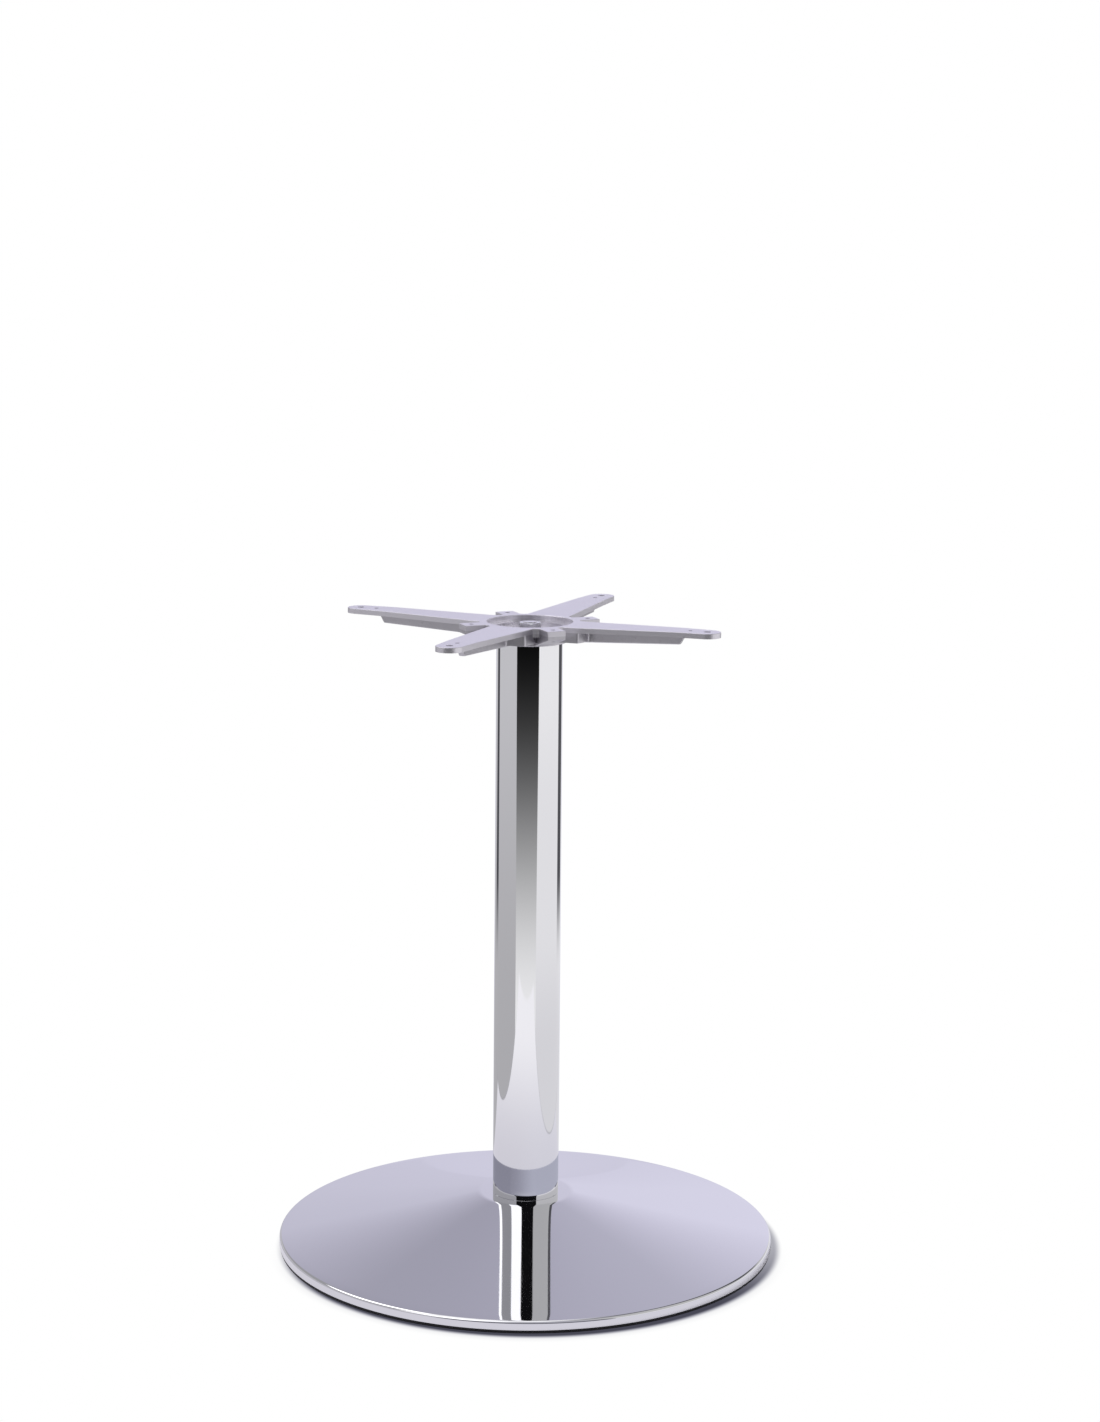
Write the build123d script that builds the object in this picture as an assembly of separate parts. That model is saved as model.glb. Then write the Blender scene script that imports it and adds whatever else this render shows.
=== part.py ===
from build123d import *
import math
import os

# Dome table base: a cast aluminium spider and a chromed column on a pressed dome cover that hides
# a cast iron weight. One tie rod clamps the stack. Origin at the centre of the footprint on the
# floor, +Z up, the arms along X and Y, millimetres.

# Overall
overall_height = 730.0
base_radius = 285.0

# Column
column_radius = 38.0
column_wall = 1.5
spigot_clearance = 0.4
socket_clearance = 0.3

# Dome cover
sheet = 1.5
seat_height = 60.0
seat_radius = 54.0
shoulder_height = 13.6
flank_sag = 1.2
seat_bend_radius = 14.0
lip_bend_radius = 3.5
cover_hole_clearance = 0.5

# Rim ring
ring_thickness = 4.0
ring_inset = 0.8
ring_flange = 19.0
ring_upstand = 3.5
ring_upstand_height = 5.0
ring_edge_radius = 1.0
ring_fit = 0.3

# Base weight
weight_gap = 3.0
weight_wall = 6.5
weight_rim_fit = 0.5
weight_rim_width = 14.0
weight_boss_radius = 46.0
weight_boss_height = 29.0
weight_spigot_height = 8.0
weight_rib_count = 6
weight_rib_thickness = 8.0
weight_edge_radius = 2.0

# Tie rod, nuts and washers
rod_radius = 8.0
rod_chamfer = 1.5
rod_hole_clearance = 0.75
thread_clearance = 0.1
nut_width = 24.0
top_nut_height = 8.0
bottom_nut_height = 13.0
nut_chamfer_angle = 30.0
washer_radius = 17.0
washer_thickness = 3.0
spring_washer_radius = 13.7
spring_washer_thickness = 3.5
spring_washer_gap = 2.0
rod_proud_top = 0.6
rod_proud_bottom = 4.0

# Spider: the arms
arm_hole_pitch_radius = 215.0
arm_tip_radius = 15.5
arm_root_radius = 26.5
arm_root_centre = 45.0
arm_thickness = 6.0
arm_hole_radius = 4.0
small_hole_setback = 20.0
small_hole_radius = 2.5
camber_rise = 2.25
camber_start = 62.0
camber_end_setback = 33.0
web_thickness = 7.0
web_end_setback = 32.0
web_end_slant = 6.0
web_end_depth = 16.0
web_root_depth = 20.5
web_edge_radius = 1.2

# Spider: the hub
hub_radius = 58.0
hub_flange_thickness = 10.0
hub_depth = 23.0
collar_wall = 4.7
recess_radius = 49.0
recess_depth = 6.5
well_radius = 40.0
well_depth = 12.0
socket_depth = 6.0
root_block_end = 74.0
root_block_step = 0.3
root_block_wall = 5.0
root_block_radius = 3.0
core_ceiling = 10.0
core_radius = 1.5
notch_radius = 2.0
ear_width = 22.0
ear_end = 82.0
ear_corner_radius = 1.0
ear_hole_pitch_radius = 71.0
ear_hole_radius = 2.75
ear_foot_depth = 21.5
well_hole_count = 4
well_hole_pitch_radius = 28.0
well_hole_radius = 3.0
cast_edge_radius = 0.6
collar_edge_radius = 1.0

# How near two places are to count as the same one
same_place = 0.1

# Heights and radii that follow from the sizes above
small_hole_pitch_radius = arm_hole_pitch_radius - small_hole_setback
camber_end = arm_hole_pitch_radius - camber_end_setback
web_end = arm_hole_pitch_radius - web_end_setback
hub_top = overall_height - camber_rise
hub_bottom = hub_top - hub_depth
well_floor = hub_top - well_depth
column_top = hub_bottom + socket_depth
column_bore_radius = column_radius - column_wall
spigot_radius = column_bore_radius - spigot_clearance
collar_radius = column_radius + socket_clearance + collar_wall
web_slope = (web_root_depth - web_end_depth + camber_rise) / (web_end - collar_radius)
web_depth_at_block = web_root_depth - web_slope * (root_block_end - collar_radius)
root_block_depth = web_depth_at_block - web_edge_radius - root_block_step
rod_hole_radius = rod_radius + rod_hole_clearance
lip_inner_radius = base_radius - sheet
ring_outer_radius = base_radius - ring_inset
upstand_outer_radius = lip_inner_radius - ring_fit
upstand_inner_radius = upstand_outer_radius - ring_upstand
weight_radius = upstand_inner_radius - weight_rim_fit
weight_shoulder = seat_height - sheet
boss_bottom = weight_shoulder - weight_boss_height
flank_slope = (seat_height - shoulder_height) / (base_radius - seat_radius)
bottom_nut_top = boss_bottom - washer_thickness - spring_washer_thickness
top_nut_bottom = well_floor + washer_thickness
tall = 2.0 * overall_height


def polygon(plane, *points):
    """A closed outline with straight sides, drawn on the given plane."""
    return plane * make_face(Polyline(*points, close=True))


def revolved(*points):
    """A turned solid from a closed outline given as radius and height."""
    return revolve(polygon(Plane.XZ, *points), axis=Axis.Z)


def cylinder(radius, bottom, top):
    """An upright cylinder on the central axis."""
    return Pos(0, 0, bottom) * extrude(Circle(radius), amount=top - bottom)


def hole(radius, x, y=0.0):
    """A long upright cutter at one place."""
    return Pos(x, y, -tall / 2) * extrude(Circle(radius), amount=tall)


def turned(shape, count, start=0.0):
    """Copies of a shape, evenly turned about the central axis."""
    return [Rot(0, 0, start + 360.0 * i / count) * shape for i in range(count)]


def flank_height(radius):
    """Height of the straight cone that the cover's flank follows."""
    return seat_height - flank_slope * (radius - seat_radius)


def make_dome_cover():
    """Pressed sheet: flat seat, slightly hollow flank and a lip turned down to the ring."""
    middle = (seat_radius + base_radius) / 2
    below = ring_thickness - 2 * sheet
    outline = Polyline((base_radius, shoulder_height), (base_radius, below), (-sheet, below),
                       (-sheet, seat_height), (seat_radius, seat_height))
    flank = ThreePointArc((seat_radius, seat_height), (middle, flank_height(middle) - flank_sag),
                          (base_radius, shoulder_height))
    outer = make_face(outline.edges() + flank.edges())
    bends = outer.vertices().filter_by(lambda v: v.X > 0 and v.Y > below + sheet)
    outer = fillet([v for v in bends if v.X < middle], seat_bend_radius)
    lip = [v for v in outer.vertices() if v.X > base_radius - sheet and v.Y > below + sheet]
    outer = fillet(lip, lip_bend_radius)
    inner = offset(outer, amount=-sheet)
    hole_radius = spigot_radius + cover_hole_clearance
    kept = Pos(hole_radius, ring_thickness) * Rectangle(base_radius, seat_height, align=Align.MIN)
    return revolve(Plane.XZ * ((outer - inner) & kept), axis=Axis.Z)


def make_rim_ring():
    """Plastic ring: a flange on the floor and an upstand inside the lip."""
    upstand_top = ring_thickness + ring_upstand_height
    ring = revolved((ring_outer_radius - ring_flange, 0), (ring_outer_radius, 0),
                    (ring_outer_radius, ring_thickness), (upstand_outer_radius, ring_thickness),
                    (upstand_outer_radius, upstand_top), (upstand_inner_radius, upstand_top),
                    (upstand_inner_radius, ring_thickness),
                    (ring_outer_radius - ring_flange, ring_thickness))
    return fillet(ring.edges().filter_by(GeomType.CIRCLE).group_by(Axis.Z)[0], ring_edge_radius)


def make_base_weight():
    """Iron ballast: a dished plate under the flank, a ribbed underside and a boss with a spigot."""
    def top(radius):
        return flank_height(radius) - sheet - weight_gap

    rim_inner = weight_radius - weight_rim_width
    shoulder_end = seat_radius - seat_bend_radius / 2
    body = revolved((rod_hole_radius, boss_bottom), (weight_boss_radius, boss_bottom),
                    (weight_boss_radius, top(weight_boss_radius) - weight_wall),
                    (rim_inner, top(rim_inner) - weight_wall), (rim_inner, ring_thickness),
                    (weight_radius, ring_thickness), (weight_radius, top(weight_radius)),
                    (shoulder_end, top(shoulder_end)), (shoulder_end, weight_shoulder),
                    (rod_hole_radius, weight_shoulder))
    rib_side = polygon(Plane.XZ, (weight_boss_radius - weight_wall, boss_bottom),
                       (weight_boss_radius, boss_bottom),
                       (rim_inner + weight_rim_width / 2, ring_thickness),
                       (rim_inner + weight_rim_width / 2, top(rim_inner) - weight_wall / 2),
                       (weight_boss_radius - weight_wall,
                        top(weight_boss_radius) - weight_wall / 2))
    rib = extrude(rib_side, amount=weight_rib_thickness / 2, both=True)
    spigot = cylinder(spigot_radius, weight_shoulder, seat_height + weight_spigot_height)
    body = body + turned(rib, weight_rib_count) + spigot
    body = chamfer(body.edges().group_by(Axis.Z)[-1], weight_edge_radius)
    return body - hole(rod_hole_radius, 0)


def make_column_tube():
    """Straight tube from the cover's seat into the spider's socket."""
    return cylinder(column_radius, seat_height, column_top) - hole(column_bore_radius, 0)


def make_rod():
    """Tie rod with chamfered ends."""
    bottom = bottom_nut_top - bottom_nut_height - rod_proud_bottom
    top = top_nut_bottom + top_nut_height + rod_proud_top
    rod = cylinder(rod_radius, bottom, top)
    return chamfer(rod.edges().filter_by(GeomType.CIRCLE), rod_chamfer)


def make_nut(bottom, height):
    """Hexagon nut with both faces chamfered at the corners."""
    across_corners = nut_width / math.cos(math.radians(30))
    prism = Pos(0, 0, bottom) * extrude(RegularPolygon(across_corners / 2, 6), amount=height)
    drop = (across_corners - nut_width) / 2 * math.tan(math.radians(nut_chamfer_angle))
    envelope = revolved((0, bottom), (nut_width / 2, bottom), (across_corners / 2, bottom + drop),
                        (across_corners / 2, bottom + height - drop),
                        (nut_width / 2, bottom + height), (0, bottom + height))
    return (prism & envelope) - hole(rod_radius + thread_clearance, 0)


def make_washer(bottom):
    """Flat washer."""
    washer = cylinder(washer_radius, bottom, bottom + washer_thickness)
    return washer - hole(rod_hole_radius, 0)


def make_spring_washer(bottom):
    """Split spring washer, drawn closed as it is when the nut is tight."""
    top = bottom + spring_washer_thickness
    washer = cylinder(spring_washer_radius, bottom, top) - hole(rod_hole_radius, 0)
    middle = (spring_washer_radius + rod_hole_radius) / 2
    split = Box(spring_washer_radius, spring_washer_gap, 4 * spring_washer_thickness)
    return washer - Pos(middle, 0, (bottom + top) / 2) * Rot(20, 0, 0) * split


def arm_outline():
    """One arm in plan along +X: a straight taper that ends in a round tip."""
    tip = Pos(arm_hole_pitch_radius, 0) * Circle(arm_tip_radius)
    root = Pos(arm_root_centre, 0) * Circle(arm_root_radius)
    return make_hull((tip + root).edges())


def make_arm_plate():
    """The arm's plate: the plan cut from a cambered strip with a flat pad at its end."""
    reach = arm_hole_pitch_radius + 2 * arm_tip_radius
    strip = polygon(Plane.XZ, (0, hub_top - arm_thickness), (0, hub_top), (camber_start, hub_top),
                    (camber_end, overall_height), (reach, overall_height),
                    (reach, overall_height - arm_thickness),
                    (camber_end, overall_height - arm_thickness),
                    (camber_start, hub_top - arm_thickness))
    block = extrude(strip, amount=2 * arm_root_radius, both=True)
    return block & extrude(arm_outline(), amount=tall)


def make_arm_web():
    """The web below the arm: deep at the hub, shallow and slanted at its end."""
    inner = (collar_radius + well_radius) / 2
    side = polygon(Plane.XZ, (inner, hub_top - hub_flange_thickness / 2),
                   (inner, hub_top - web_root_depth), (collar_radius, hub_top - web_root_depth),
                   (web_end, overall_height - web_end_depth),
                   (web_end + web_end_slant, overall_height - arm_thickness),
                   (camber_end, overall_height - arm_thickness),
                   (camber_start, hub_top - arm_thickness),
                   (camber_start, hub_top - arm_thickness / 2))
    web = extrude(side, amount=web_thickness / 2, both=True)
    lower = web.edges().filter_by(lambda edge: edge.length > web_end - collar_radius)
    return fillet(lower, web_edge_radius)


def make_root_block():
    """The broad root under each arm: a cored box with the web running through it."""
    plan = arm_outline() & Circle(root_block_end)
    block = Pos(0, 0, hub_top - root_block_depth) * extrude(plan, amount=root_block_depth
                                                             - arm_thickness / 2)
    cored = offset(arm_outline(), amount=-root_block_wall)
    cored = (cored & Circle(root_block_end - root_block_wall)) - Circle(collar_radius
                                                                       + root_block_wall)
    cored = cored - Rectangle(tall, web_thickness)
    core = extrude(cored, amount=hub_top - core_ceiling)
    return block - core


def make_ear():
    """A square lug between two arms, with a sloping foot that runs down to the collar."""
    side = polygon(Plane.XZ, (well_radius, hub_top), (ear_end, hub_top),
                   (ear_end, hub_top - hub_flange_thickness),
                   (collar_radius, hub_top - ear_foot_depth),
                   (well_radius, hub_top - ear_foot_depth))
    return extrude(side, amount=ear_width / 2, both=True)


def upright_edges(solid, radius):
    """Straight upright edges that stand at one distance from the axis."""
    def stands_there(edge):
        middle = edge.center()
        return abs(math.hypot(middle.X, middle.Y) - radius) < same_place

    return solid.edges().filter_by(Axis.Z).filter_by(stands_there)


def round_edges(solid, radius):
    """Circular edges of one radius, the lowest first."""
    circles = solid.edges().filter_by(GeomType.CIRCLE)
    return circles.filter_by(lambda edge: abs(edge.radius - radius) < same_place).sort_by(Axis.Z)


def outline_edges(solid):
    """Edges round the upper side, without those where two of its flats meet."""
    def is_upper(face):
        return face.normal_at().Z > 0.9 and face.center().Z > hub_top - same_place

    edges = [edge for face in solid.faces().filter_by(is_upper) for edge in face.edges()]
    return [edge for edge in edges if sum(edge.is_same(other) for other in edges) == 1]


def make_rough_casting():
    """The casting before it is machined: hub, arms, webs, roots and ears, with its edges eased."""
    body = cylinder(hub_radius, hub_top - hub_flange_thickness, hub_top)
    body = body + cylinder(collar_radius, hub_bottom, hub_top)
    for piece in (make_arm_plate(), make_root_block(), make_arm_web()):
        body = body + turned(piece, 4)
    body = body + turned(make_ear(), 4, start=45)
    core_end = root_block_end - root_block_wall
    core_start = collar_radius + root_block_wall
    ear_corner = math.hypot(ear_end, ear_width / 2)
    eased = ((hub_radius, notch_radius), (ear_corner, ear_corner_radius),
             (root_block_end, root_block_radius), (core_end, core_radius),
             (core_start, core_radius))
    for distance, radius in eased:
        body = fillet(upright_edges(body, distance), radius)
    return fillet(outline_edges(body), cast_edge_radius)


def make_spider():
    """The finished casting: recess, well, socket for the tube and all the holes cut."""
    body = make_rough_casting()
    recess = cylinder(recess_radius, hub_top - recess_depth, hub_top + arm_thickness)
    well = cylinder(well_radius, well_floor, hub_top + arm_thickness)
    tube_end = cylinder(column_radius + socket_clearance, hub_bottom - arm_thickness, column_top)
    socket = tube_end - cylinder(spigot_radius, 0, column_top)
    holes = [hole(rod_hole_radius, 0)]
    holes += turned(hole(arm_hole_radius, arm_hole_pitch_radius), 4)
    holes += turned(hole(small_hole_radius, small_hole_pitch_radius), 4)
    holes += turned(hole(ear_hole_radius, ear_hole_pitch_radius), 4, start=45)
    holes += turned(hole(well_hole_radius, well_hole_pitch_radius), well_hole_count, start=45)
    body = body - [recess, well, socket] - holes
    body = fillet(round_edges(body, recess_radius)[-1], cast_edge_radius)
    return fillet(round_edges(body, collar_radius)[0], collar_edge_radius)


parts = {
    "spider": make_spider(),
    "column_tube": make_column_tube(),
    "dome_cover": make_dome_cover(),
    "base_weight": make_base_weight(),
    "rim_ring": make_rim_ring(),
    "tie_rod": make_rod(),
    "top_nut": make_nut(top_nut_bottom, top_nut_height),
    "top_washer": make_washer(well_floor),
    "bottom_washer": make_washer(boss_bottom - washer_thickness),
    "bottom_spring_washer": make_spring_washer(bottom_nut_top),
    "bottom_nut": make_nut(bottom_nut_top - bottom_nut_height, bottom_nut_height),
}

os.makedirs("parts", exist_ok=True)
for name, shape in parts.items():
    export_step(shape, f"parts/{name}.step")
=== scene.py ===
import math

import bpy
from bpy.props import FloatProperty, FloatVectorProperty, IntProperty, PointerProperty
from mathutils import Matrix, Vector


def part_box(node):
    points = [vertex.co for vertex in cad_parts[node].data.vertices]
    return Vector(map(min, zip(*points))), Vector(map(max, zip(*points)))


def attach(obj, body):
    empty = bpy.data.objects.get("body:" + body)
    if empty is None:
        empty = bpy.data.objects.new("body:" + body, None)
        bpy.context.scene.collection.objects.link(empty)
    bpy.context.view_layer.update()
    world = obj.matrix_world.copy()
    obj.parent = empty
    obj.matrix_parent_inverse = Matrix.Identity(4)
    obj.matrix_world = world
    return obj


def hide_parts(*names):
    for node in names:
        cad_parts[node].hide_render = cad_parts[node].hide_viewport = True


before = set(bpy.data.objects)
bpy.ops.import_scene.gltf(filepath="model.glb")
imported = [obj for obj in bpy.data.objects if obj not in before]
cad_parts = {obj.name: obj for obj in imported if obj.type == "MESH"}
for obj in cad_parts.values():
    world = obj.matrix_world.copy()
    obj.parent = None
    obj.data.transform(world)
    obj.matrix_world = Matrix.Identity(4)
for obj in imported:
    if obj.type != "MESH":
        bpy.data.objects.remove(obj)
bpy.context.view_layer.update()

bl_info = {
    "name": "Dome Table Base",
    "version": (1, 0, 0),
    "blender": (4, 5, 0),
    "location": "3D View > Sidebar > Dome Base",
    "description": "Cover, column, rod, spider and finishes of a table base, with its studio",
    "category": "Object",
}

BODY = "root"


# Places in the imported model, in metres, and new objects

def low(node):
    """Lowest corner of a CAD node."""
    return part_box(node)[0]


def high(node):
    """Highest corner of a CAD node."""
    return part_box(node)[1]


def new_object(name, data):
    """An object in the scene."""
    made = bpy.data.objects.new(name, data)
    bpy.context.scene.collection.objects.link(made)
    return made


# Properties

def size(name, description, default):
    """A length in metres."""
    return FloatProperty(name=name, description=description, default=default, min=0.0,
                         precision=5, subtype="DISTANCE", unit="LENGTH")


def share(name, description, default):
    """A plain factor from 0 to 1."""
    return FloatProperty(name=name, description=description, default=default, min=0.0, max=1.0,
                         subtype="FACTOR")


def number(name, description, default):
    """A plain number from 0 up."""
    return FloatProperty(name=name, description=description, default=default, min=0.0)


def angle(name, description, degrees):
    """An angle, stated in degrees."""
    return FloatProperty(name=name, description=description, default=math.radians(degrees),
                         subtype="ANGLE", unit="ROTATION")


def steps(name, description, default):
    """A number of faces."""
    return IntProperty(name=name, description=description, default=default, min=12, max=1024)


def tint(name, description, default):
    """A linear colour."""
    return FloatVectorProperty(name=name, description=description, default=default, size=3,
                               min=0.0, max=1.0, subtype="COLOR")


class DomeBaseSizes(bpy.types.PropertyGroup):
    """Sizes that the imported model's boxes don't give."""
    sheet: size("Sheet", "Thickness of the pressed cover", 0.0015)
    tube_wall: size("Tube Wall", "Wall of the column tube", 0.0015)
    seat_radius: size("Seat Radius", "Radius where the cover's flat seat ends", 0.054)
    shoulder_height: size("Shoulder Height", "Height where the flank meets the lip", 0.0136)
    flank_sag: size("Flank Sag", "How far the flank is hollow at its middle", 0.0012)
    seat_bend: size("Seat Bend", "Outer radius of the bend round the seat", 0.028)
    lip_bend: size("Lip Bend", "Outer radius of the bend above the lip", 0.0035)
    cover_hole: size("Cover Hole", "Radius of the hole in the cover's seat", 0.0366)
    tube_edge: size("Tube Edge", "Easing of the tube's ends", 0.0003)
    thread_pitch: size("Thread Pitch", "Rise of the rod's thread in one turn", 0.002)
    thread_depth: size("Thread Depth", "From the crest of the thread to its root", 0.0012)
    thread_length: size("Thread Length", "Length of the thread at each end of the rod", 0.044)
    rod_chamfer: size("Rod Chamfer", "Chamfer on the rod's ends", 0.0015)
    arm_plate: size("Arm Plate", "Thickness of the spider's arms above their webs", 0.006)
    arm_rise: size("Arm Rise", "How far the arms rise from the hub to their tips", 0.00225)
    rise_start: size("Rise Start", "Radius where the arms start to rise", 0.062)
    rise_end: size("Rise End", "Radius where the arms are level again", 0.182)
    steps_round: steps("Steps Round", "Faces round a turned piece", 384)
    rod_steps: steps("Rod Steps", "Faces round the threaded rod", 48)
    thread_steps: steps("Thread Steps", "Faces in one turn of the thread", 40)


class DomeBaseFinish(bpy.types.PropertyGroup):
    """Colours and gloss of the finishes."""
    chrome: tint("Chrome", "Colour of the polished chrome", (0.80, 0.80, 0.82))
    chrome_roughness: share("Chrome Roughness", "Blur of the chrome's reflections", 0.035)
    polish_waves: size("Polish Waves", "Height of the slow waves that polishing leaves", 0.00006)
    aluminium: tint("Aluminium", "Colour of the blasted casting", (0.63, 0.615, 0.655))
    aluminium_roughness: share("Aluminium Roughness", "Blur of the casting's shine", 0.40)
    # Painted light: the top faces, where light from above falls, are painted this much brighter
    top_light_gain: number("Top Light Gain", "How much brighter the ground top faces are", 1.48)
    # Painted light: the arm plate's top and edges are painted this much brighter than the web in
    # shade below
    plate_light_gain: number("Plate Light Gain", "How much brighter the fettled edges are", 1.14)
    turned_gain: number("Turned Gain", "How much brighter the turned recess is", 1.40)
    # Painted shade: the faces below the arm plate, the web and the hub under it, are painted this
    # much darker
    shaded_web_gain: share("Shaded Web Gain", "How bright the faces are that stay as cast", 0.95)
    turned_roughness: share("Turned Roughness", "Blur of the turned recess's shine", 0.30)
    turned_radius: size("Turned Radius", "Radius of the turned recess in the hub", 0.049)
    turned_depth: size("Turned Depth", "How far down from the top the turning goes", 0.0145)
    tool_step: size("Tool Step", "Distance between the turning marks", 0.0012)
    tool_depth: size("Tool Depth", "Depth of the turning marks", 0.0000025)
    iron: tint("Iron", "Colour of the painted ballast", (0.055, 0.056, 0.060))
    plastic: tint("Plastic", "Colour of the rim ring", (0.012, 0.012, 0.014))
    plastic_roughness: share("Plastic Roughness", "Blur of the ring's shine", 0.55)
    zinc: tint("Zinc", "Colour of the plated steel", (0.78, 0.78, 0.80))
    zinc_roughness: share("Zinc Roughness", "Blur of the plated steel's shine", 0.20)


class DomeBaseStudio(bpy.types.PropertyGroup):
    """The camera, the floor and the light."""
    camera_distance: size("Camera Distance", "Level distance from the column", 3.3806)
    camera_height: size("Camera Height", "Height of the camera above the floor", 1.2340)
    camera_turn: angle("Camera Turn", "Where the camera stands round the column", -66.446)
    camera_pitch: angle("Camera Pitch", "How far the camera looks down", 6.0)
    camera_roll: angle("Camera Roll", "How far the camera leans to one side", 0.433)
    focal_pixels: number("Focal Length", "Focal length in pixels of the picture", 2999.0)
    centre_across: number("Centre Across", "Picture column of the lens axis, in pixels", 530.82)
    centre_down: number("Centre Down", "Picture row of the lens axis, in pixels", 489.31)
    floor_radius: size("Floor Radius", "Radius of the studio floor", 6.0)
    sheet_left: size("Sheet Left", "Reach of the white sheet on the floor to the left", 0.585)
    sheet_right: size("Sheet Right", "Reach of the white sheet to the right", 0.445)
    sheet_front: size("Sheet Front", "Reach of the white sheet to the front", 1.1)
    under_glow: share("Under Glow", "Light on the hidden underside, for a view from below", 0.9)
    floor_colour: tint("Floor Colour", "Colour of the studio floor", (0.90, 0.885, 0.94))
    key_strength: number("Key Strength", "Power of the soft lamp, in watts", 18.0)
    softbox: number("Softbox", "Brightness of the soft lamp's mirror image", 2.3)
    key_size: size("Key Size", "Width of the soft lamp", 1.5)


def sizes():
    return bpy.context.scene.dome_base_sizes


def finish():
    return bpy.context.scene.dome_base_finish


def studio():
    return bpy.context.scene.dome_base_studio


# Nodes

WHITE = (1.0, 1.0, 1.0)
BLACK = (0.0, 0.0, 0.0)


def put(tree, kind, **settings):
    """Adds a node and sets its properties."""
    made = tree.nodes.new(kind)
    for key, value in settings.items():
        setattr(made, key, value)
    return made


def plug(tree, socket, value):
    """Links a socket to another one, or sets its value."""
    if isinstance(value, bpy.types.NodeSocket):
        tree.links.new(value, socket)
    else:
        socket.default_value = value


def kept(group, name, maker):
    """A finish or a geometry tree that is made once and then shared."""
    return group.get(name) or maker(name)


def linked(tree, kind, inputs, **settings):
    """Adds a node with its inputs plugged by name or number."""
    made = put(tree, kind, **settings)
    for key, value in inputs.items():
        plug(tree, made.inputs[key], value)
    return made


def calc(tree, operation, *values, clamp=False):
    """A Math node."""
    made = put(tree, "ShaderNodeMath", operation=operation, use_clamp=clamp)
    for socket, value in zip(made.inputs, values):
        plug(tree, socket, value)
    return made.outputs[0]


def plus(tree, first, second):
    return calc(tree, "ADD", first, second)


def minus(tree, first, second):
    return calc(tree, "SUBTRACT", first, second)


def times(tree, first, second):
    return calc(tree, "MULTIPLY", first, second)


def smaller(tree, first, second):
    return calc(tree, "MINIMUM", first, second)


def larger(tree, first, second):
    return calc(tree, "MAXIMUM", first, second)


def outside(tree, mask):
    """The opposite of a mask."""
    return minus(tree, 1.0, mask)


def split(tree, vector):
    """The X, Y and Z of a vector."""
    return linked(tree, "ShaderNodeSeparateXYZ", {0: vector}).outputs


def from_axis(tree, parts):
    """How far a place with these coordinates is from the upright axis."""
    return calc(tree, "SQRT", plus(tree, calc(tree, "POWER", parts["X"], 2.0),
                                   calc(tree, "POWER", parts["Y"], 2.0)))


def along(tree, vector, direction):
    """How far a vector goes along a direction."""
    return linked(tree, "ShaderNodeVectorMath", {0: vector, 1: direction},
                  operation="DOT_PRODUCT").outputs["Value"]


def between(tree, value, start, end, first=0.0, last=1.0):
    """Goes smoothly from the first result to the last one between two values."""
    made = linked(tree, "ShaderNodeMapRange",
                  {"Value": value, "From Min": start, "From Max": end, "To Min": first,
                   "To Max": last}, interpolation_type="SMOOTHSTEP")
    return made.outputs["Result"]


def inside(tree, value, start, end, edge=0.02):
    """1 where a value lies between two limits, with narrow soft edges."""
    return times(tree, between(tree, value, start - edge, start + edge),
                 between(tree, value, end + edge, end - edge))


def rgba(colour, scale=1.0):
    """A colour with its brightness scaled, as a colour socket takes it."""
    return (colour[0] * scale, colour[1] * scale, colour[2] * scale, 1.0)


def blended(tree, factor, first, second):
    """Mixes two colours, each a socket or plain linear tones."""
    first, second = (tone if isinstance(tone, bpy.types.NodeSocket) else rgba(tone)
                     for tone in (first, second))
    return linked(tree, "ShaderNodeMix", {0: factor, 6: first, 7: second},
                  data_type="RGBA").outputs[2]


def toned(tree, red, green, blue):
    """A colour from three numbers."""
    return linked(tree, "ShaderNodeCombineColor", {0: red, 1: green, 2: blue}).outputs[0]


def noise(tree, place, scale, detail=3.0, roughness=0.5):
    """Noise on the piece's own coordinates, with the scale in waves per metre."""
    return linked(tree, "ShaderNodeTexNoise", {"Vector": place, "Scale": scale, "Detail": detail,
                                               "Roughness": roughness}).outputs["Fac"]


def spread(tree, pattern, first=0.0, last=1.0):
    """Stretches the middle values of a noise, where most of them lie, between two results."""
    return between(tree, pattern, 0.3, 0.7, first, last)


def bumped(tree, height, distance, under=None):
    """A Bump node of a real depth in metres."""
    made = linked(tree, "ShaderNodeBump", {"Strength": 1.0, "Distance": distance,
                                           "Height": height})
    if under:
        plug(tree, made.inputs["Normal"], under)
    return made.outputs["Normal"]


# Finishes

def new_finish(name, metallic):
    """A material with one Principled BSDF; gives the material, its tree and coordinates."""
    material = bpy.data.materials.new(name)
    material.use_nodes = True
    tree = material.node_tree
    shader = tree.nodes["Principled BSDF"]
    shader.inputs["Metallic"].default_value = metallic
    shader.inputs["Specular IOR Level"].default_value = 0.5 if metallic else 0.25
    return material, tree, put(tree, "ShaderNodeTexCoord").outputs["Object"]


def surface(tree, colour, roughness, normal):
    """Gives a finish its colour, its roughness and its bump."""
    shader = tree.nodes["Principled BSDF"]
    for key, value in (("Base Color", colour), ("Roughness", roughness), ("Normal", normal)):
        plug(tree, shader.inputs[key], value)


def make_chrome(name):
    """Bright chrome on polished steel, with the faint haze that wiping leaves."""
    material, tree, place = new_finish(name, 1.0)
    own = finish()
    haze = noise(tree, place, scale=14.0, detail=4.0, roughness=0.6)
    waves = noise(tree, place, scale=9.0, detail=1.0, roughness=0.4)
    blur = between(tree, haze, 0.35, 0.75, own.chrome_roughness * 0.8,
                   own.chrome_roughness * 1.3)
    surface(tree, rgba(own.chrome), blur, bumped(tree, waves, own.polish_waves))
    return material


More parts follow.
